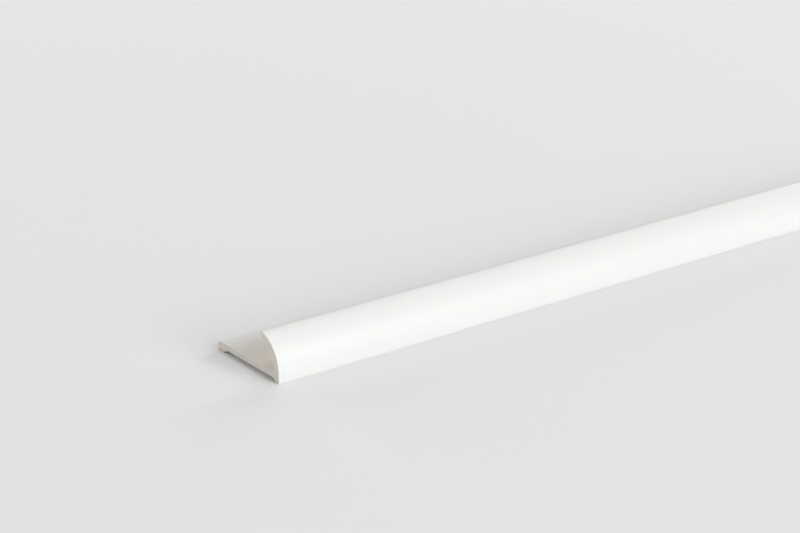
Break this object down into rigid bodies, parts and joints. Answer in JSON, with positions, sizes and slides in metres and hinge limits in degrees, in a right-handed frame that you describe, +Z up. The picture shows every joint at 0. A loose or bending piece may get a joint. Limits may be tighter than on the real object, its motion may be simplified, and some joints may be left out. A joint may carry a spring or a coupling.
{
  "type": "pvc corner guard",
  "caption": "Quarter round trim for tiled corners: a curved shell stands over the tile's edge, on a flat perforated leg that beds under the tile.",
  "frame": {"origin": "middle of the footprint, on the surface that the guard lies on", "axes": "+X along the length, +Y from the outer face of the shell to the tip of the leg, +Z up from the bed to the top of the shell"},
  "size_m": [2.5, 0.0254, 0.0107],
  "materials": {
    "white_pvc": "smooth extruded white pvc with a soft satin gloss and saw cut ends"
  },
  "bodies": {
    "root": {"corner_guard": "white_pvc"}
  },
  "joints": []
}
